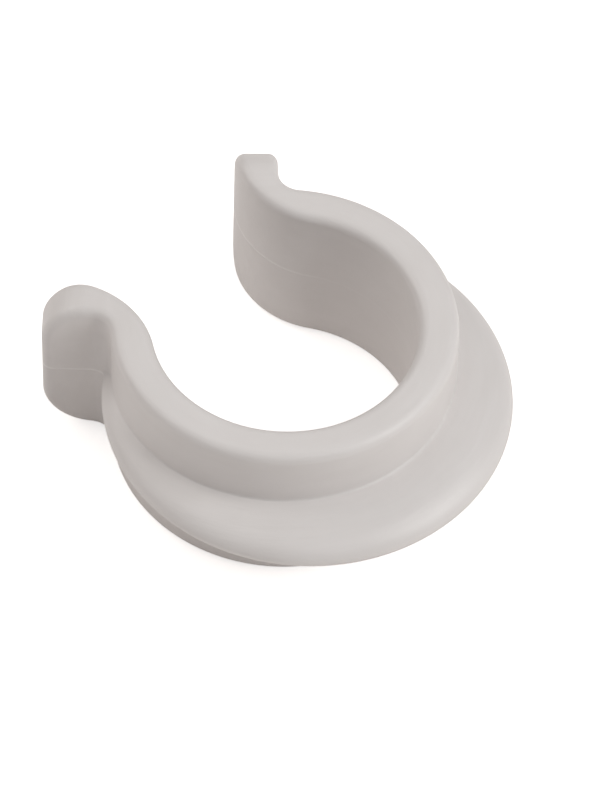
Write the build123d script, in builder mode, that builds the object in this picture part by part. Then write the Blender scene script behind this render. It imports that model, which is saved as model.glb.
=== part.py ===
"""Curtain clip: an open ring moulded in one piece, which snaps over a round rod and grips the cloth on it.

The origin is the middle of the bore, halfway across the band. Z runs along the bore and X out of the
mouth. The clip lies on one edge of its band, so its lowest face is half a band width below the origin.
"""
import os
from math import asin, cos, degrees, radians, sin

from build123d import *

# Band: the ring that grips the rod
bore_radius = 10.0
wall = 3.0
band_width = 14.0
rim_radius = 0.8

# Lips: the band's two ends, each turned outwards. The throat side bends gently and the hollow side
# tightly, and both then run straight to the tip.
throat_angle = 56.8
throat_radius = 7.4
hollow_radius = 1.8
lip_heading = 44.0
lip_thickness = 3.3
lip_straight = 1.3
lip_corner_radius = 4.0

# Rib: a crescent round the outside, deepest at the back and run out to almost nothing at the lips. Its
# outline is a circle whose middle lies behind the bore's.
rib_radius = 15.5
rib_offset = 2.55
rib_half_height = 2.0

# What follows from the sizes above
outer_radius = bore_radius + wall
throat_centre_distance = bore_radius + throat_radius
hollow_centre_distance = outer_radius + hollow_radius
throat_lead = radians(throat_angle - lip_heading)
hollow_side = throat_centre_distance * sin(throat_lead) - throat_radius + lip_thickness
hollow_lead = asin((hollow_side + hollow_radius) / hollow_centre_distance)
hollow_angle = lip_heading + degrees(hollow_lead)
tip_reach = throat_centre_distance * cos(throat_lead) + lip_straight
hollow_straight = tip_reach - hollow_centre_distance * cos(hollow_lead)
throat_centre_x = throat_centre_distance * cos(radians(throat_angle))
throat_centre_y = throat_centre_distance * sin(radians(throat_angle))
hollow_centre_x = hollow_centre_distance * cos(radians(hollow_angle))
hollow_centre_y = hollow_centre_distance * sin(radians(hollow_angle))
throat_turn = 90 + lip_heading - throat_angle
hollow_turn = 90 + lip_heading - hollow_angle
rib_depth = rib_radius + rib_offset - outer_radius


def is_tip(face):
    """Tells a tip, which looks out of the mouth and away from the middle, from the other flat faces."""
    normal = face.normal_at()
    return normal.X > abs(normal.Z) and normal.Y * face.center().Y > 0


def is_lip_side(face):
    """Tells the flat upright sides of the lips from the tips and from the edge faces."""
    normal = face.normal_at()
    return abs(normal.X) > abs(normal.Z) and not is_tip(face)


# Band with its lips: one half of the outline in arcs, mirrored and thickened both ways from the middle
with BuildPart() as band:
    with BuildSketch() as band_outline:
        with BuildLine() as half_outline:
            bore_arc = CenterArc((0, 0), bore_radius, throat_angle, 180 - throat_angle)
            outer_arc = CenterArc((0, 0), outer_radius, hollow_angle, 180 - hollow_angle)
            throat_arc = CenterArc(
                (throat_centre_x, throat_centre_y), throat_radius, 180 + throat_angle, throat_turn
            )
            hollow_arc = CenterArc(
                (hollow_centre_x, hollow_centre_y), hollow_radius, 180 + hollow_angle, hollow_turn
            )
            throat_line = PolarLine(throat_arc @ 1, lip_straight, direction=throat_arc % 1)
            hollow_line = PolarLine(hollow_arc @ 1, hollow_straight, direction=hollow_arc % 1)
            Line(throat_line @ 1, hollow_line @ 1)
            Line(bore_arc @ 1, outer_arc @ 1)
        make_face()
        mirror(about=Plane.XZ)
    extrude(amount=band_width / 2, both=True)

    # Each tip has two large corners, seen from the side
    tip_faces = band.faces().filter_by(GeomType.PLANE).filter_by(is_tip)
    fillet(tip_faces.edges().filter_by(Plane.XY), lip_corner_radius)

    # Both rims are softened all the way round, along the lips, over the corners and down the tips
    flat_faces = band.faces().filter_by(GeomType.PLANE)
    tip_edges = flat_faces.filter_by(is_tip).edges().filter_by(Axis.Z)
    side_edges = flat_faces.filter_by(is_lip_side).edges().filter_by(Plane.XY)
    curved_edges = band.edges().filter_by(GeomType.LINE, reverse=True)
    fillet(curved_edges + side_edges + tip_edges, rim_radius)

# Rib: a half-oval section turned about an axis that lies behind the bore, open where the band is open
with BuildPart() as rib:
    with BuildSketch(Plane.XZ) as rib_section:
        with Locations((-outer_radius, 0)):
            Ellipse(rib_depth, rib_half_height)
    revolve(axis=Axis((-rib_offset, 0, 0), (0, 0, 1)))
    with BuildSketch(Plane.XY.offset(-band_width / 2)) as inside:
        with BuildLine() as inside_outline:
            bore_line = CenterArc((0, 0), bore_radius, throat_angle, 2 * (180 - throat_angle))
            left_throat = CenterArc(
                (throat_centre_x, throat_centre_y), throat_radius, 180 + throat_angle, throat_turn
            )
            right_throat = CenterArc(
                (throat_centre_x, -throat_centre_y), throat_radius, 180 - throat_angle, -throat_turn
            )
            Polyline(left_throat @ 1, (tip_reach, 0), right_throat @ 1)
        make_face()
    extrude(amount=band_width, mode=Mode.SUBTRACT)

# Clip: the band and its rib are one moulding
with BuildPart() as clip:
    add(band.part)
    add(rib.part)

clip.part.label = "clip"

os.makedirs("parts", exist_ok=True)
export_step(clip.part, "parts/clip.step")
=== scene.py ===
"""Curtain clip: the looks of one moulded plastic snap clip, lying on one edge of its band.

Lengths in the clip's own sections are millimetres, as on its drawing, and turn into metres with the mesh.
The floor, the lamps and the camera are placed in metres.
"""

from math import asin, cos, pi, radians, sin

import bpy
import numpy as np
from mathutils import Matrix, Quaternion, Vector


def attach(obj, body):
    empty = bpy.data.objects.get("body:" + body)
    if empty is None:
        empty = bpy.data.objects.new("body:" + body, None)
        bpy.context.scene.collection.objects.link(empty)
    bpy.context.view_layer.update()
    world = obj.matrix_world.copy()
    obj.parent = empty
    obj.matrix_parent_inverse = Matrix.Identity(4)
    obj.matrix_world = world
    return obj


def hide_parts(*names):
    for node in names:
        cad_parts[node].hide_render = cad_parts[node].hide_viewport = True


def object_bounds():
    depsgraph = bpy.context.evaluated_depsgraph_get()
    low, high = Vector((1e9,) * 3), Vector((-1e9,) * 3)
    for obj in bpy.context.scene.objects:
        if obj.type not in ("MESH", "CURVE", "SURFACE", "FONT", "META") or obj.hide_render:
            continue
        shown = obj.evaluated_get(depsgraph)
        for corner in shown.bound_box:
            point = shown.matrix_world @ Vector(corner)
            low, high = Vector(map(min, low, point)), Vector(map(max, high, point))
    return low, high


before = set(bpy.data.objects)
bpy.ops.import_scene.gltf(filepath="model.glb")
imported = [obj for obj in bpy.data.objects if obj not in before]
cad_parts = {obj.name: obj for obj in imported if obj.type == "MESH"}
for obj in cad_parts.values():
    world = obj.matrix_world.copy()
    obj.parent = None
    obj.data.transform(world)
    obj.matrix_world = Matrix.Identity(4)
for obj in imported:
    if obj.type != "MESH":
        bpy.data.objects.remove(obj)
cad_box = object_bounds()

# The band: a strip of springy plastic, bent into an open ring that grips the rod, with its two ends
# turned outwards as lips. It is one moulding with the rib round its outside, so both are one surface.
bore_radius = 10.0
wall = 3.0
band_width = 14.0
rim_radius = 0.8
outer_radius = bore_radius + wall

# The lips: the side towards the mouth bends gently, the other side tightly, and both then run straight
# to the tip. Their sides lie one lip thickness apart.
throat_angle = radians(56.8)
throat_radius = 7.4
hollow_radius = 1.8
lip_heading = radians(44.0)
lip_thickness = 3.3
lip_straight = 1.3
lip_corner_radius = 4.0
throat_distance = bore_radius + throat_radius
hollow_distance = outer_radius + hollow_radius
hollow_side = throat_distance * sin(throat_angle - lip_heading) - throat_radius + lip_thickness
hollow_angle = lip_heading + asin((hollow_side + hollow_radius) / hollow_distance)
tip_reach = throat_distance * cos(throat_angle - lip_heading) + lip_straight


def direction(angle):
    """Unit vectors in the plane of the ring: the cosine and the sine of each angle."""
    return np.stack([np.cos(angle), np.sin(angle)], axis=-1)


class Side:
    """One side of the band seen along the bore: an arc of the ring, then an arc of the lip, then a line."""

    def __init__(self, ring_radius, leave_angle, bend_radius):
        self.ring_radius = ring_radius
        self.leave_angle = leave_angle
        self.bend_radius = bend_radius
        self.ring_length = ring_radius * (pi - leave_angle)
        self.turn = pi / 2 + lip_heading - leave_angle
        self.bend_length = bend_radius * self.turn
        straight = tip_reach - (ring_radius + bend_radius) * cos(leave_angle - lip_heading)
        self.length = self.ring_length + self.bend_length + straight

    def trace(self, along):
        """Points and outward normals at distances along the side, counted from the back.

        The line turns round the bore's middle, then the other way round the lip's bend, and last runs
        straight: a point is the sum of the three stretches, and the normal's angle is the ring's angle
        plus the turn made in the bend.
        """
        ring_angle = pi - np.minimum(along, self.ring_length) / self.ring_radius
        turned = np.clip((along - self.ring_length) / self.bend_radius, 0, self.turn)
        past_bend = np.maximum(along - self.ring_length - self.bend_length, 0)
        bend_start = direction(np.full_like(along, self.leave_angle))
        bend_part = self.bend_radius * (bend_start - direction(self.leave_angle + turned))
        straight_part = past_bend[:, None] * direction(np.full_like(along, lip_heading))
        point = self.ring_radius * direction(ring_angle) + bend_part + straight_part
        return point, direction(ring_angle + turned)

    def stations(self, to_tip, lip_count, ring_count):
        """Distances along the side: first at given distances from the tip, then even ones to the back.

        The distance from the tip is taken along the lip's heading, and is looked up in a fine table.
        """
        table_size = 2000
        table = np.linspace(self.length, self.ring_length, table_size)
        from_tip = tip_reach - self.trace(table)[0] @ direction(lip_heading)
        tip_part = np.interp(to_tip, from_tip, table)
        lip_part = np.linspace(tip_part[-1], self.ring_length, lip_count)[1:]
        ring_part = np.linspace(self.ring_length, 0, ring_count)[1:]
        return np.concatenate([tip_part, lip_part, ring_part])


def recess(to_tip, height):
    """How far a side's surface lies inside the side's line, to round off the rims and the tip's corners.

    The surface is flat inside a rectangle with round corners, one rim radius in from the outline, and
    past that rectangle it falls off as a quarter circle of the rim radius. The distance past the
    rectangle is that of a box with round corners.
    """
    past_end = lip_corner_radius - to_tip
    past_side = np.abs(height) - (band_width / 2 - lip_corner_radius)
    outside = np.hypot(np.maximum(past_end, 0), np.maximum(past_side, 0))
    inside = np.minimum(np.maximum(past_end, past_side), 0)
    past_flat = np.clip(outside + inside - (lip_corner_radius - rim_radius), 0, rim_radius)
    return rim_radius - np.sqrt(rim_radius**2 - past_flat**2)


# The rib: a crescent round the outside that stiffens the ring, deepest at the back. It belongs to the
# same moulding, a half-oval section turned about an axis that lies a little behind the bore's middle.
rib_radius = 15.5
rib_axis = np.array([-2.55, 0.0])
rib_half_height = 2.0
rib_depth = rib_radius - rib_axis[0] - outer_radius
rib_inner_radius = rib_radius - rib_depth
corner_softness = 0.25


def rib_reach(point, normal, height):
    """How far the rib stands out of the wall along the normal at each height. Less than nothing is inside.

    The rib's circle at that height has the inner radius plus the proud depth times the square root of
    one less the height's square, in half heights. The reach is where a line from the point along the
    normal meets that circle. Where it never does, or looks back at the rib's axis, there is no rib.
    """
    squared = 1 - (height / rib_half_height) ** 2
    circle = rib_inner_radius + rib_depth * np.sign(squared) * np.sqrt(np.abs(squared))
    from_axis = point - rib_axis
    along_normal = np.sum(from_axis * normal, axis=-1)[:, None]
    within = circle**2 - np.sum(from_axis**2, axis=-1)[:, None] + along_normal**2
    reach = np.sqrt(np.maximum(within, 0)) - along_normal
    return np.where((along_normal > 0) & (within > 0), reach, -wall)


def larger(first, second, softness):
    """The larger of two fields, with the corner between them rounded over where they differ by less."""
    closeness = np.maximum(softness - np.abs(first - second), 0) / softness
    return np.maximum(first, second) + softness * closeness**2 / 4


# Stations along the band stand closer together at the tips, where the corners turn. The clip's other
# half is the same with y turned round.
corner_count = 27
lip_count = 40
ring_count = 110
corner_steps = lip_corner_radius * (1 - np.cos(np.linspace(0, pi / 2, corner_count)))


def both_halves(values):
    """Points or normals from one tip to the back, and on to the other tip with y turned round."""
    return np.concatenate([values, values[-2::-1] * np.array([1.0, -1.0])])


def whole_side(side):
    """Points, normals and distances from the tip for every station of one side of the band."""
    point, normal = side.trace(side.stations(corner_steps, lip_count, ring_count))
    to_tip = tip_reach - point @ direction(lip_heading)
    return both_halves(point), both_halves(normal), np.concatenate([to_tip, to_tip[-2::-1]])


inner_point, inner_normal, inner_to_tip = whole_side(Side(bore_radius, throat_angle, throat_radius))
outer_point, outer_normal, outer_to_tip = whole_side(Side(outer_radius, hollow_angle, hollow_radius))

# Rows of points up the band at each station: first over the rib, whose foot comes closer to the middle
# as the rib runs out, then up the bare wall beside it, and last round the rim. The rim's rows keep a
# least height between them at the tips.
rib_count = 21
wall_count = 14
rim_count = 10
wall_crowding = 1.3
least_foot_squared = 0.12
least_rim = 0.1
rib_share = (np.linalg.norm(outer_point - rib_axis, axis=1) - rib_inner_radius) / rib_depth
rib_foot = rib_half_height * np.sqrt(np.clip(1 - rib_share**2, least_foot_squared, 1))
past_corner = np.clip(lip_corner_radius - outer_to_tip, 0, lip_corner_radius)
outline_height = band_width / 2 - lip_corner_radius + np.sqrt(lip_corner_radius**2 - past_corner**2)
flat_root = np.maximum((lip_corner_radius - rim_radius) ** 2 - past_corner**2, 0)
flat_height = band_width / 2 - lip_corner_radius + np.sqrt(flat_root)
flat_height = np.minimum(flat_height, outline_height - least_rim)
rib_steps = np.sin(np.linspace(0, pi / 2, rib_count))
wall_steps = np.linspace(0, 1, wall_count)[1:] ** wall_crowding
rim_steps = np.sin(np.linspace(0, pi / 2, rim_count))[1:]
rib_rows = rib_foot[:, None] * rib_steps
wall_rows = rib_foot[:, None] + (flat_height - rib_foot)[:, None] * wall_steps
rim_rows = flat_height[:, None] + (outline_height - flat_height)[:, None] * rim_steps
upper_rows = np.concatenate([rib_rows, wall_rows, rim_rows], axis=1)
height = np.concatenate([-upper_rows[:, :0:-1], upper_rows], axis=1)

# Both sides of the band, and the rib on the outer one, as offsets outwards from each side's line
inner_offset = recess(inner_to_tip[:, None], height)
rib_offset = rib_reach(outer_point, outer_normal, height)
outer_offset = larger(-recess(outer_to_tip[:, None], height), rib_offset, corner_softness)


def band_surface(point, normal, offset):
    """The points of one side: its line plus the offset along its normal, at each height."""
    flat = point[:, None, :] + normal[:, None, :] * offset[:, :, None]
    return np.concatenate([flat, height[:, :, None]], axis=2)


# The skin runs round the section and from one tip to the other, and a strip of faces closes each tip
outer_face = band_surface(outer_point, outer_normal, outer_offset)
inner_face = band_surface(inner_point, inner_normal, inner_offset)
section = np.concatenate([outer_face, inner_face[:, ::-1]], axis=1)
station_count, column_count = section.shape[:2]
index = np.arange(station_count * column_count).reshape(station_count, column_count)
around = np.roll(index, -1, axis=1)
skin = np.stack([index[:-1], index[1:], around[1:], around[:-1]], axis=-1).reshape(-1, 4)
side_count = height.shape[1]
outer_end, inner_end = index[:, :side_count], index[:, side_count:][:, ::-1]
first_tip = np.stack([outer_end[0, :-1], outer_end[0, 1:], inner_end[0, 1:], inner_end[0, :-1]], axis=-1)
last_tip = np.stack([outer_end[-1, :-1], inner_end[-1, :-1], inner_end[-1, 1:], outer_end[-1, 1:]], axis=-1)
faces = np.concatenate([skin, first_tip, last_tip])
points = section.reshape(-1, 3)

# Faces point outwards when the volume, summed over them from the origin, comes out positive
corners = points[faces]
volume = np.einsum("ij,ij->i", corners[:, 0], np.cross(corners[:, 1], corners[:, 2])).sum()
volume += np.einsum("ij,ij->i", corners[:, 0], np.cross(corners[:, 2], corners[:, 3])).sum()
faces = faces if volume > 0 else faces[:, ::-1]

millimetres_per_metre = 1000.0
clip_mesh = bpy.data.meshes.new("clip_moulding")
clip_mesh.from_pydata((points / millimetres_per_metre).tolist(), [], faces.tolist())
clip_mesh.polygons.foreach_set("use_smooth", np.ones(len(faces), dtype=bool))
clip_mesh.update()
clip = bpy.data.objects.new("clip_moulding", clip_mesh)
bpy.context.collection.objects.link(clip)


class Socket:
    """An output socket of a node tree, on which values are added and multiplied as plain numbers."""

    def __init__(self, tree, output=None):
        self.tree = tree
        self.output = output

    def node(self, kind, settings=None, inputs=None, result=0):
        """Makes a node of a type, sets its settings, fills or links its sockets and gives one output."""
        made = self.tree.nodes.new(kind)
        for name, value in (settings or {}).items():
            setattr(made, name, value)
        for name, value in (inputs or {}).items():
            if isinstance(value, Socket):
                self.tree.links.new(value.output, made.inputs[name])
            else:
                made.inputs[name].default_value = value
        return Socket(self.tree, made.outputs[result]) if made.outputs else None

    def maths(self, operation, *values):
        return self.node("ShaderNodeMath", {"operation": operation}, dict(enumerate(values)))

    def __add__(self, other):
        return self.maths("ADD", self, other)

    def __radd__(self, other):
        return self.maths("ADD", other, self)

    def __mul__(self, other):
        return self.maths("MULTIPLY", self, other)

    def __rmul__(self, other):
        return self.maths("MULTIPLY", other, self)

    def __truediv__(self, other):
        return self.maths("DIVIDE", self, other)

    def __neg__(self):
        return self.maths("MULTIPLY", self, -1.0)


def empty_material(name):
    """A material with no nodes in it, and a socket that makes nodes in its tree."""
    material = bpy.data.materials.new(name)
    material.use_nodes = True
    material.node_tree.nodes.clear()
    return material, Socket(material.node_tree)


# The plastic: a warm off-white moulding compound, dyed right through, with the soft sheen that a
# finely worn steel mould leaves. It shows flow streaks round the ring and the line where the mould parts.
plastic, tree = empty_material("clip_plastic")
metres = tree.node("ShaderNodeTexCoord", result="Object")
place = tree.node("ShaderNodeVectorMath", {"operation": "SCALE"}, {0: metres, "Scale": millimetres_per_metre})
across, beside, above = [
    tree.node("ShaderNodeSeparateXYZ", inputs={"Vector": place}, result=axis) for axis in "XYZ"
]
distance = tree.maths("SQRT", across * across + beside * beside)
turn = tree.maths("ARCTAN2", beside, -across)


def noise(where, scale, detail, roughness):
    """Soft noise from 0 to 1 over a vector, at a scale, with its finer steps and their share."""
    inputs = {"Vector": where, "Scale": scale, "Detail": detail, "Roughness": roughness}
    return tree.node("ShaderNodeTexNoise", {"noise_dimensions": "3D"}, inputs, "Fac")


# Streaks follow the way the plastic ran: long round the ring and fine across it. Over them lie a fine
# grain from the mould and a slow cloud in the dye.
streaks_round = 2.2
streaks_outwards = 1.1
streaks_upwards = 0.8
streak_place = tree.node(
    "ShaderNodeCombineXYZ",
    inputs={"X": turn * streaks_round, "Y": distance * streaks_outwards, "Z": above * streaks_upwards},
)
streaks = noise(streak_place, scale=1.0, detail=3.0, roughness=0.55)
grain = noise(place, scale=5.5, detail=2.0, roughness=0.6)
cloud = noise(place, scale=0.16, detail=2.0, roughness=0.5)

# The mould's two halves meet halfway up the band, and leave a fine ridge there. It is plainest on the lips.
ridge_half_width = 0.1
ridge_least = 0.15
ridge_weak_until = 4.0
ridge_full_from = 8.5
ridge_offset = above / ridge_half_width
ridge = tree.maths("EXPONENT", -(ridge_offset * ridge_offset))
towards_tips = tree.node(
    "ShaderNodeMapRange", {"interpolation_type": "SMOOTHSTEP"},
    {"Value": across, "From Min": ridge_weak_until, "From Max": ridge_full_from},
)
ridge_strength = ridge_least + (1 - ridge_least) * towards_tips
ridge_share = ridge * ridge_strength

# Relief heights are millimetres, which the bump's distance turns into metres
streak_height = 0.05
grain_height = 0.004
ridge_height = 0.03
relief = streak_height * streaks + grain_height * grain + ridge_height * ridge_share
bump = tree.node(
    "ShaderNodeBump", inputs={"Strength": 1.0, "Distance": 1 / millimetres_per_metre, "Height": relief}
)

# Tone and sheen vary a little with the streaks, and the thin ridge is paler than the rest. Sockets 6
# and 7 take a mix's two colours, and its output 2 gives a colour.
deeper_tone = (0.73, 0.70, 0.685, 1.0)
lighter_tone = (0.82, 0.795, 0.785, 1.0)
ridge_tone = (0.89, 0.87, 0.86, 1.0)
streak_share = 0.5
tone_factor = (1 - streak_share) * cloud + streak_share * streaks
dyed = tree.node(
    "ShaderNodeMix", {"data_type": "RGBA"}, {"Factor": tone_factor, 6: deeper_tone, 7: lighter_tone}, 2
)
tone = tree.node("ShaderNodeMix", {"data_type": "RGBA"}, {"Factor": ridge_share, 6: dyed, 7: ridge_tone}, 2)
least_roughness = 0.28
streak_roughness = 0.14
grain_roughness = 0.08
sheen = least_roughness + streak_roughness * streaks + grain_roughness * grain
surface = tree.node(
    "ShaderNodeBsdfPrincipled", inputs={"Base Color": tone, "Roughness": sheen, "Normal": bump, "IOR": 1.47}
)
tree.node("ShaderNodeOutputMaterial", inputs={"Surface": surface})

clip_mesh.materials.append(plastic)
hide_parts("clip")
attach(clip, "root")

# The floor: a plain white sheet that the clip lies on, a hair below it so that the two never coincide.
# It keeps the clip's shadow, and only what the camera sees of it is lifted to the photograph's white.
floor_reach = 3.0
floor_gap = 0.00002
floor_colour = (0.96, 0.93, 0.91, 1.0)
floor_lift = 0.6
floor_height = cad_box[0][2] - floor_gap
floor_signs = [(-1, -1), (1, -1), (1, 1), (-1, 1)]
floor_corners = [(x * floor_reach, y * floor_reach, floor_height) for x, y in floor_signs]
floor_mesh = bpy.data.meshes.new("floor")
floor_mesh.from_pydata(floor_corners, [], [(0, 1, 2, 3)])
floor = bpy.data.objects.new("floor", floor_mesh)
bpy.context.collection.objects.link(floor)
white, floor_tree = empty_material("white_floor")
seen = floor_tree.node("ShaderNodeLightPath", result="Is Camera Ray")
diffuse = floor_tree.node("ShaderNodeBsdfDiffuse", inputs={"Color": floor_colour})
glow = floor_tree.node(
    "ShaderNodeEmission", inputs={"Color": (1.0, 1.0, 1.0, 1.0), "Strength": seen * floor_lift}
)
lifted = floor_tree.node("ShaderNodeAddShader", inputs={0: diffuse, 1: glow})
floor_tree.node("ShaderNodeOutputMaterial", inputs={"Surface": lifted})
floor_mesh.materials.append(white)

# Light: an even, slightly warm room and three soft lamps. The broad one overhead lights the rims, the one
# at the side models the rib and the wall, and the one before the mouth reaches the inside of the ring.
world = bpy.data.worlds.new("room")
world.use_nodes = True
bpy.context.scene.world = world
background = world.node_tree.nodes["Background"]
background.inputs["Color"].default_value = (1.0, 0.95, 0.93, 1.0)
background.inputs["Strength"].default_value = 0.2


def soft_lamp(name, place, size, power, colour):
    """A square lamp of a size in metres, at a place in metres, turned to the clip."""
    lamp = bpy.data.lights.new(name, "AREA")
    lamp.shape = "SQUARE"
    lamp.size = size
    lamp.energy = power
    lamp.color = colour
    holder = bpy.data.objects.new(name, lamp)
    holder.location = place
    holder.rotation_euler = (-Vector(place)).to_track_quat("-Z", "Y").to_euler()
    bpy.context.collection.objects.link(holder)


soft_lamp("overhead_lamp", place=(0.0, 0.0, 0.7), size=1.3, power=2.0, colour=(1.0, 1.0, 1.0))
soft_lamp("side_lamp", place=(-0.50, -0.25, 0.48), size=0.45, power=2.7, colour=(1.0, 1.0, 0.99))
soft_lamp("mouth_lamp", place=(0.51, 0.18, 0.35), size=0.4, power=1.15, colour=(1.0, 0.96, 0.92))

# Camera: the photograph's view of this clip, from behind and above its left lip, brought closer by the
# lens alone, so that the perspective stays. The focal length and the picture's height are in pixels.
photo_focal = 1004.5
photo_height = 800.0
closer = 4.8
sensor_height = 36.0
camera_place = Vector((-0.15219, 0.16122, 0.28911))
camera_target = Vector((-0.0018, 0.0, -0.0012))
lean = Quaternion((0.0, 0.0, 1.0), radians(2.3))
camera_data = bpy.data.cameras.new("camera")
camera_data.sensor_fit = "VERTICAL"
camera_data.sensor_height = sensor_height
camera_data.lens = sensor_height * photo_focal / photo_height * closer
camera_data.clip_start = 0.01
camera = bpy.data.objects.new("camera", camera_data)
camera.location = camera_place
camera.rotation_euler = ((camera_target - camera_place).to_track_quat("-Z", "Y") @ lean).to_euler()
bpy.context.collection.objects.link(camera)
bpy.context.scene.camera = camera

bpy.context.scene.view_settings.view_transform = "Standard"
